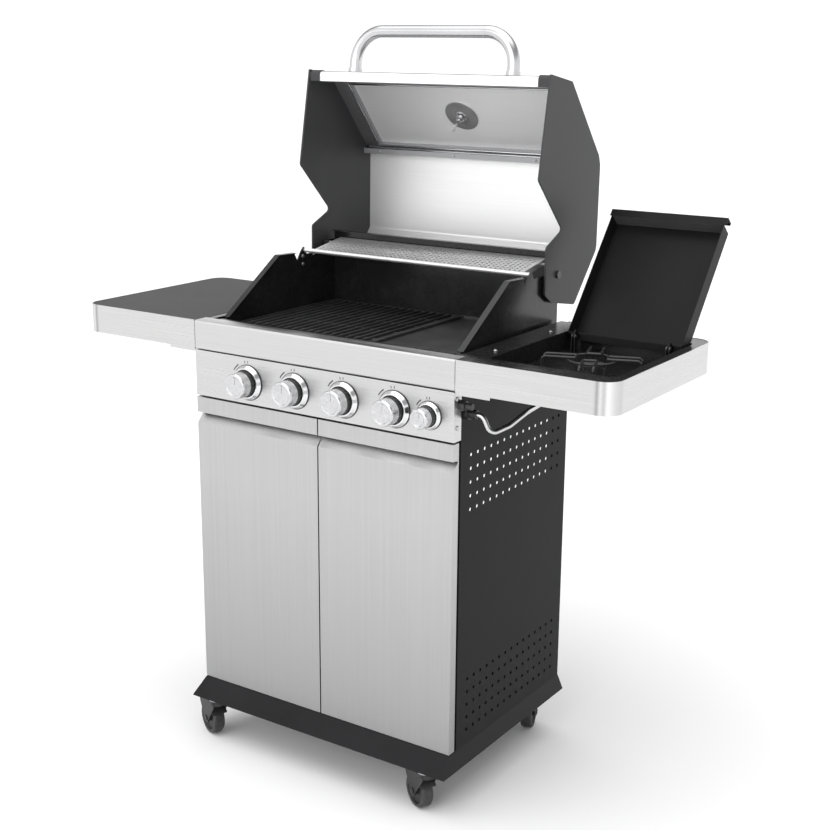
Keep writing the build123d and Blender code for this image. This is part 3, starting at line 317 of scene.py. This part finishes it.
def heated_steel(name, color=(0.46, 0.45, 0.43)):
    """Plain stainless round the burners, tinted by heat."""
    m = Material(name, color, 1.0, 0.35)
    drawn = m.noise(1.0, 3.0, 0.6, stretch=(700, 12, 700))
    tint = m.noise(16.0, 3.0, 0.6)
    m.feed(m.mix(m.ramp(tint, 0.38, 0.68, 0.0, 1.0), color, (0.36, 0.29, 0.20)), "Base Color")
    m.feed(m.ramp(drawn, 0.3, 0.7, 0.28, 0.42), "Roughness")
    m.bump(drawn, 0.00005, 0.5)
    return m.mat


def bezel_finish(name):
    """Chromed dish whose flat floor is black."""
    m = Material(name, (0.8, 0.8, 0.8), 1.0, 0.1)
    bright = m.ramp(m.axis(1), FRONT - 0.0036, FRONT - 0.0030, 1.0, 0.0)
    wipes = m.noise(60.0, 4.0, 0.6)
    m.feed(m.mix(bright, (0.02, 0.02, 0.021), (0.78, 0.78, 0.79)), "Base Color")
    m.feed(bright, "Metallic")
    m.feed(m.ramp(wipes, 0.3, 0.75, 0.08, 0.20), "Roughness")
    m.bump(wipes, 0.00002, 0.5)
    return m.mat


def pipe_finish(name):
    """Zinc-plated pipe inside the cabinet with a blackened fitting outside its right side."""
    m = Material(name, (0.5, 0.5, 0.5), 1.0, 0.35)
    inside = m.ramp(m.axis(0), 0.3240, 0.3246, 1.0, 0.0)
    wear_and_lit_face = m.noise(140.0, 3.0, 0.6)
    m.feed(m.mix(inside, (0.025, 0.025, 0.026), (0.56, 0.56, 0.58)), "Base Color")
    m.feed(inside, "Metallic")
    m.feed(m.ramp(wear_and_lit_face, 0.3, 0.7, 0.28, 0.45), "Roughness")
    m.bump(wear_and_lit_face, 0.00003, 0.5)
    return m.mat


def knob_finish(name):
    """Knob: black gripped skirt, then a satin cap with turned lines on its face."""
    m = Material(name, (0.6, 0.6, 0.6), 1.0, 0.25)
    depth = m.axis(1)
    cap = m.ramp(depth, FRONT - 0.0225, FRONT - 0.0220, 1.0, 0.0)
    rings = m.noise(1.0, 2.0, 0.5, stretch=(300, 2200, 300))
    wear_and_lit_face = m.noise(120.0, 3.0, 0.6)
    metal = m.mix(m.ramp(wear_and_lit_face, 0.3, 0.7, 0.0, 1.0), (0.55, 0.55, 0.56), (0.66, 0.66, 0.67))
    m.feed(m.mix(cap, (0.018, 0.018, 0.019), metal), "Base Color")
    m.feed(cap, "Metallic")
    m.feed(m.math("ADD", m.ramp(wear_and_lit_face, 0.3, 0.7, 0.20, 0.30), m.ramp(cap, 0.0, 1.0, 0.14, 0.0)), "Roughness")
    m.bump(rings, 0.00003, 0.5)
    return m.mat


def caster_wheel_finish(name):
    """Wheel: grey-black hub inside a softer tread."""
    m = Material(name, (0.02, 0.02, 0.02), 0.0, 0.55)
    grain = m.noise(900.0, 3.0, 0.6)
    dust = m.noise(40.0, 4.0, 0.6)
    m.feed(m.mix(m.ramp(dust, 0.4, 0.75, 0.0, 1.0), (0.016, 0.016, 0.017), (0.045, 0.044, 0.042)),
           "Base Color")
    m.feed(m.ramp(grain, 0.3, 0.7, 0.42, 0.62), "Roughness")
    m.bump(grain, 0.0001, 0.6)
    return m.mat


MATERIALS = {
    "door_steel": brushed("door_steel", (0.49, 0.49, 0.49), 0.36, "Z", shade_fade=(0.13, 0.62, 0.74)),
    "fascia_steel": brushed("fascia_steel", (0.59, 0.59, 0.59), 0.30, "X"),
    "band_steel": band_finish("band_steel", (0.60, 0.60, 0.60)),
    "hood_steel": hood_finish("hood_steel"),
    "lining_steel": brushed("lining_steel", (0.34, 0.34, 0.35), 0.42, "X", metallic=0.8),
    "rack_steel": brushed("rack_steel", (0.74, 0.74, 0.74), 0.42, "X", metallic=0.8),
    "satin_chrome": chrome("satin_chrome", (0.60, 0.60, 0.61), 0.20),
    "zinc": chrome("zinc_plate", (0.52, 0.52, 0.54), 0.34),
    "dark_pin": chrome("blackened_pin", (0.10, 0.10, 0.105), 0.38),
    "bezel": bezel_finish("knob_bezel"),
    "pipe": pipe_finish("gas_pipe"),
    "powder": powder_coat("black_powder_coat", (0.008, 0.008, 0.0085), 0.46, shine=0.10),
    "plinth": powder_coat("plinth_paint", (0.008, 0.008, 0.009), 0.40, shine=0.16),
    "cap": powder_coat("hood_cap_coat", (0.036, 0.036, 0.038), 0.42, shine=0.30),
    "grey": powder_coat("grey_powder_coat", (0.036, 0.036, 0.038), 0.48, shine=0.16),
    "enamel": enamel("black_enamel", (0.009, 0.009, 0.0095)),
    "wire": enamel("wire_enamel", (0.022, 0.022, 0.023), 0.16),
    "lid": lid_finish("lid_coat"),
    "iron": cast_iron("cast_iron", (0.026, 0.026, 0.027)),
    "griddle": cast_iron("griddle_iron", (0.034, 0.034, 0.035), 0.5),
    "burner": heated_steel("burner_steel"),
    "black": moulded("black_fittings", (0.010, 0.010, 0.011), 0.42),
    "rubber": caster_wheel_finish("caster_wheel"),
    "knob": knob_finish("knob_finish"),
    "speckled": cast_iron("speckled_plate", (0.13, 0.13, 0.132), 0.55),
    "mark": moulded("printed_mark", (0.012, 0.012, 0.012), 0.45),
}

FINISH = {
    "base_plinth": "plinth", "caster_plates": "zinc",
    "left_side_panel": "powder", "right_side_panel": "powder", "back_panel": "powder",
    "front_frame": "powder", "control_panel": "fascia_steel", "fascia_rail": "fascia_steel",
    "left_door_skin": "door_steel", "right_door_skin": "door_steel",
    "left_door_liner": "powder", "right_door_liner": "powder",
    "knob_bezels": "bezel", "gas_valves": "black", "gas_manifold": "pipe",
    "side_burner_hose": "satin_chrome", "firebox_left_side": "enamel", "firebox_right_side": "enamel",
    "firebox_walls": "enamel", "main_burners": "burner", "flame_tamers": "burner",
    "cooking_grate": "iron", "griddle_plate": "griddle", "warming_rack": "rack_steel",
    "drip_tray": "burner", "hood_skin": "hood_steel", "hood_left_cap": "cap", "hood_right_cap": "cap",
    "hood_lining": "lining_steel", "hood_thermometer": "satin_chrome", "hood_handle": "satin_chrome",
    "left_shelf_top": "grey", "left_shelf_band": "band_steel", "right_shelf_top": "enamel",
    "right_shelf_band": "band_steel", "side_burner_head": "iron", "side_burner_pan_support": "wire",
    "side_burner_lid": "lid", "hinge_pins": "dark_pin", "frame_screws": "zinc",
}
for name, piece in nodes.items():
    if name in FINISH:
        finish = FINISH[name]
    elif name.startswith("knob_"):
        finish = "knob"
    elif name.startswith("caster_wheel"):
        finish = "rubber"
    elif name.startswith(("caster_fork", "caster_brake")):
        finish = "black"
    else:
        finish = "zinc"
    piece.data.materials.clear()
    piece.data.materials.append(MATERIALS[finish])


# ---------------------------------------------------------------- small fittings
def opened(x, depth, z):
    """Point of the shut hood, in millimetres behind the cart's front, where it lies on the open hood."""
    dy, dz = depth - PIVOT_DEPTH, z - PIVOT_Z
    y = PIVOT_DEPTH + dy * cos(HOOD_OPEN) + dz * sin(HOOD_OPEN)
    height = PIVOT_Z - dy * sin(HOOD_OPEN) + dz * cos(HOOD_OPEN)
    return Vector((x / 1000, y / 1000 + FRONT, height / 1000))


def on_panel(x, along, inward):
    """Point on the hood's sloping panel, measured from its lower bend and in from its outside."""
    slope = atan2(PANEL_RISE, PANEL_RUN)
    return opened(x, BEND_DEPTH + along * cos(slope) + inward * sin(slope),
                  BEND_Z + along * sin(slope) - inward * cos(slope))


def finished(name, bm, material, body):
    """Mesh from bm, smooth, with its material, riding on a CAD body."""
    bmesh.ops.recalc_face_normals(bm, faces=bm.faces)
    for face in bm.faces:
        face.smooth = True
    mesh = bpy.data.meshes.new(name)
    bm.to_mesh(mesh)
    bm.free()
    mesh.materials.append(MATERIALS[material])
    piece = bpy.data.objects.new(name, mesh)
    bpy.context.scene.collection.objects.link(piece)
    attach(piece, body)
    return piece


def rings(bm, loops, closed=False):
    """Skin of quads between successive loops of points; the ends are capped unless it closes on itself."""
    rows = [[bm.verts.new(p) for p in loop] for loop in loops]
    count = len(rows[0])
    pairs = list(zip(rows, rows[1:])) + ([(rows[-1], rows[0])] if closed else [])
    for near, far in pairs:
        for i in range(count):
            bm.faces.new((near[i], near[(i + 1) % count], far[(i + 1) % count], far[i]))
    if not closed:
        bm.faces.new(rows[0])
        bm.faces.new(rows[-1][::-1])


def across(direction):
    """Two unit vectors square to a direction."""
    side = direction.cross(Vector((1, 0, 0)) if abs(direction.x) < 0.8 else Vector((0, 0, 1))).normalized()
    return side, direction.cross(side).normalized()


def bead(bm, start, end, radius):
    """Rounded bead between two points."""
    direction = (end - start).normalized()
    side, over = across(direction)
    circle = [side * cos(a) + over * sin(a) for a in (2 * pi * i / 10 for i in range(10))]
    stations = [(start, 0.5), (start + direction * radius, 1.0), (end - direction * radius, 1.0), (end, 0.5)]
    rings(bm, [[at + c * radius * share for c in circle] for at, share in stations])


def screw(bm, at, outward, radius=0.0034):
    """Domed screw head with a hexagonal socket."""
    outward = outward.normalized()
    side, over = across(outward)
    loops = []
    for share, height in ((1.0, 0.0), (1.0, 0.3), (0.86, 0.62), (0.5, 0.8), (0.42, 0.35)):
        loops.append([at + (side * cos(a) + over * sin(a)) * radius * share + outward * radius * height
                      for a in (2 * pi * i / 12 for i in range(12))])
    rings(bm, loops)


def hood_fittings():
    """Bead round the window, bead and screws of both inner strips, and the thermometer's backing plate."""
    bright = bmesh.new()
    low, high, inward = 12.0, 201.0, 13.2
    for side in (-1, 1):
        bead(bright, on_panel(side * 262, low, inward), on_panel(side * 262, high, inward), 0.0022)
    for along in (low, high):
        bead(bright, on_panel(-262, along, inward), on_panel(262, along, inward), 0.0022)
    bead(bright, opened(-299, 188.5, 1173.6), opened(299, 188.5, 1173.6), 0.0017)
    finished("hood_beads", bright, "satin_chrome", "hood")

    heads = bmesh.new()
    facing = opened(0, 0, -1) - opened(0, 0, 0)
    for x in (-222, -55, 113, 272):
        screw(heads, opened(x, 46, 957.9), facing)
    for x in (-253, -50, 162):
        screw(heads, opened(x, 195.5, 1175.2), facing)
    finished("hood_screws", heads, "zinc", "hood")

    plate = bmesh.new()
    centre = on_panel(0, hypot(PANEL_RUN, PANEL_RISE) / 2, 5.4)
    inside = (on_panel(0, 104.0, 6.4) - on_panel(0, 104.0, 5.4)).normalized()
    side, over = across(inside)
    loops = []
    for radius, height in ((13.0, 0.0), (39.4, 0.0), (39.4, 0.5), (37.5, 0.9), (14.5, 0.9), (13.0, 0.5)):
        loops.append([centre + (side * cos(a) + over * sin(a)) * radius / 1000 + inside * height / 1000
                      for a in (2 * pi * i / 48 for i in range(48))])
    rings(plate, loops, closed=True)
    finished("gauge_backing", plate, "speckled", "hood")


def panel_marks():
    """Raised black setting marks round each knob."""
    marks = bmesh.new()
    for x, reach in ((-181, 43.5), (-58, 43.5), (65, 43.5), (188, 43.5), (269, 33.5)):
        for degrees_round in (90, 100, 128, 134, 140, 146):
            a = radians(degrees_round)
            centre = Vector((x / 1000 + cos(a) * reach / 1000, FRONT, 0.834 + sin(a) * reach / 1000))
            length, width = (0.0026, 0.0008) if degrees_round < 110 else (0.0012, 0.0024)
            out, along = Vector((cos(a), 0, sin(a))), Vector((-sin(a), 0, cos(a)))
            loops = []
            for share, height in ((1.0, 0.0), (0.85, 0.00025)):
                loops.append([centre + out * u * length * share + along * v * width * share
                              - Vector((0, height, 0)) for u, v in ((-1, -1), (1, -1), (1, 1), (-1, 1))])
            rings(marks, loops)
    finished("setting_marks", marks, "mark", "cart")


def shelf_screws():
    """Two domed screws through the right shelf, left of the side burner."""
    heads = bmesh.new()
    for depth in (110.0, 330.0):
        screw(heads, Vector((0.347, depth / 1000 + FRONT, 0.9495)), Vector((0, 0, 1)), 0.0042)
    finished("shelf_screws", heads, "zinc", "cart")


hood_fittings()
panel_marks()
shelf_screws()


# ---------------------------------------------------------------- camera
AZIMUTH, ELEVATION, ROLL = radians(33.7118), radians(15.1135), radians(0.4386)
back = Vector((sin(AZIMUTH) * cos(ELEVATION), -cos(AZIMUTH) * cos(ELEVATION), sin(ELEVATION)))
right = Vector((0, 0, 1)).cross(back).normalized()
up = back.cross(right)
right, up = right * cos(ROLL) + up * sin(ROLL), up * cos(ROLL) - right * sin(ROLL)
camera = bpy.data.objects.new("camera", bpy.data.cameras.new("camera"))
camera.data.sensor_width = 36.0
camera.data.lens = 60.10
place = Matrix((right, up, back)).transposed().to_4x4()
place.translation = (1.6593, -2.1325 + FRONT, 1.5221)
camera.matrix_world = place
bpy.context.scene.collection.objects.link(camera)
bpy.context.scene.camera = camera


# ---------------------------------------------------------------- studio
def studio_floor():
    """Plain pale floor."""
    mesh = bpy.data.meshes.new("studio_floor")
    bm = bmesh.new()
    bmesh.ops.create_grid(bm, x_segments=8, y_segments=8, size=30)
    bm.to_mesh(mesh)
    bm.free()
    floor = bpy.data.objects.new("studio_floor", mesh)
    floor.location = (0, 0, -0.0005)
    bpy.context.scene.collection.objects.link(floor)
    m = Material("pale_floor", (0.92, 0.92, 0.92), 0.0, 0.9)
    m.set("Specular IOR Level", 0.0)
    m.feed(m.mix(m.ramp(m.noise(0.6, 2.0), 0.3, 0.7, 0.0, 1.0), (0.92, 0.92, 0.92), (0.94, 0.94, 0.94)),
           "Base Color")
    mesh.materials.append(m.mat)


def studio_sky():
    """White room: bright at the horizon, dimmer above it, with a broad soft light overhead."""
    world = bpy.data.worlds.new("studio")
    bpy.context.scene.world = world
    world.use_nodes = True
    tree = world.node_tree
    coords = tree.nodes.new("ShaderNodeTexCoord")
    split = tree.nodes.new("ShaderNodeSeparateXYZ")
    ramp = tree.nodes.new("ShaderNodeValToRGB")
    tree.links.new(coords.outputs["Generated"], split.inputs["Vector"])
    tree.links.new(split.outputs["Z"], ramp.inputs["Fac"])
    tree.links.new(ramp.outputs["Color"], tree.nodes["Background"].inputs["Color"])
    steps = ((0.0, 1.0), (0.30, 0.95), (0.46, 0.34), (0.72, 0.34), (0.84, 1.6), (1.0, 1.6))
    while len(ramp.color_ramp.elements) < len(steps):
        ramp.color_ramp.elements.new(0.5)
    for element, (position, level) in zip(ramp.color_ramp.elements, steps):
        element.position = position
        element.color = (level, level, level, 1.0)
    tree.nodes["Background"].inputs["Strength"].default_value = 1.16


def sun(name, from_point, strength, spread):
    """Soft distant light shining from a point towards the origin."""
    data = bpy.data.lights.new(name, "SUN")
    data.energy = strength
    data.angle = radians(spread)
    lamp = bpy.data.objects.new(name, data)
    lamp.rotation_euler = (-Vector(from_point)).to_track_quat("-Z", "Y").to_euler()
    bpy.context.scene.collection.objects.link(lamp)


studio_floor()
studio_sky()
sun("key", (-1.6, -2.6, 3.0), 0.8, 70)
sun("fill", (0.2, -3.0, 0.7), 1.0, 60)

bpy.context.scene.view_settings.view_transform = "Standard"
